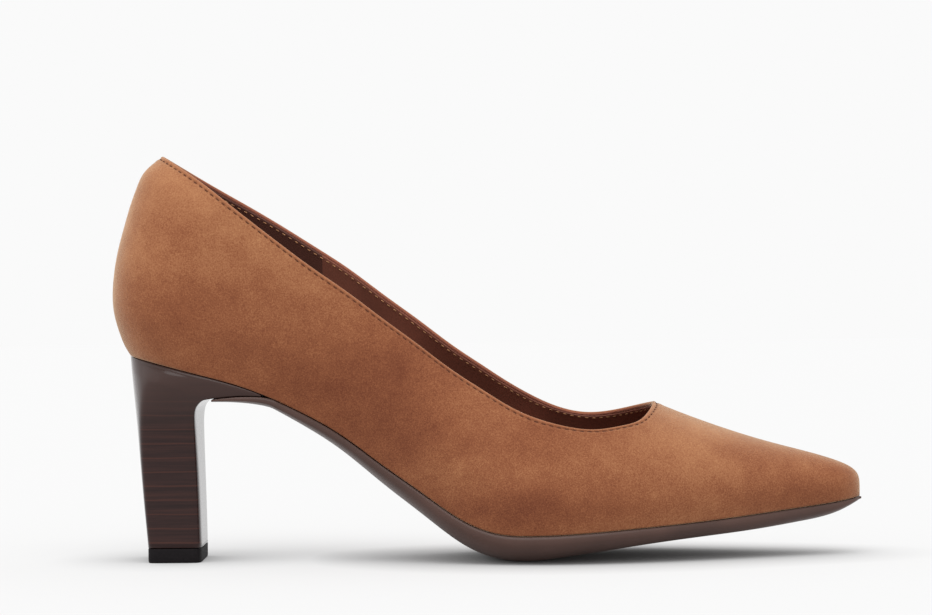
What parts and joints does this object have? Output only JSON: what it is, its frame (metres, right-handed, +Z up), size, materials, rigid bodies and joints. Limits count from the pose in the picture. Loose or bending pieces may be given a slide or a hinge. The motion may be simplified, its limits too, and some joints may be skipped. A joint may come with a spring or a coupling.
{
  "type": "block heel pump",
  "caption": "Suede pump with a pointed toe, a low-cut topline, a thin sole and a stacked-look block heel with a black wear piece.",
  "frame": {"origin": "middle of the heel's underside, on the floor that the shoe stands on", "axes": "+X from the heel to the toe, +Y to the inner side of the foot, +Z up"},
  "size_m": [0.2498, 0.0785, 0.1348],
  "materials": {
    "tan_suede": "tan suede with a short mottled nap",
    "brown_lining": "smooth dark brown lining leather",
    "brown_sole": "satin brown sole finish",
    "dark_stack": "polished dark brown stacked-look wrap with fine layer lines",
    "black_rubber": "matt black"
  },
  "bodies": {
    "root": {"upper": "tan_suede", "insole": "brown_lining", "outsole": "brown_sole", "heel": "dark_stack", "top_lift": "black_rubber"}
  },
  "joints": []
}
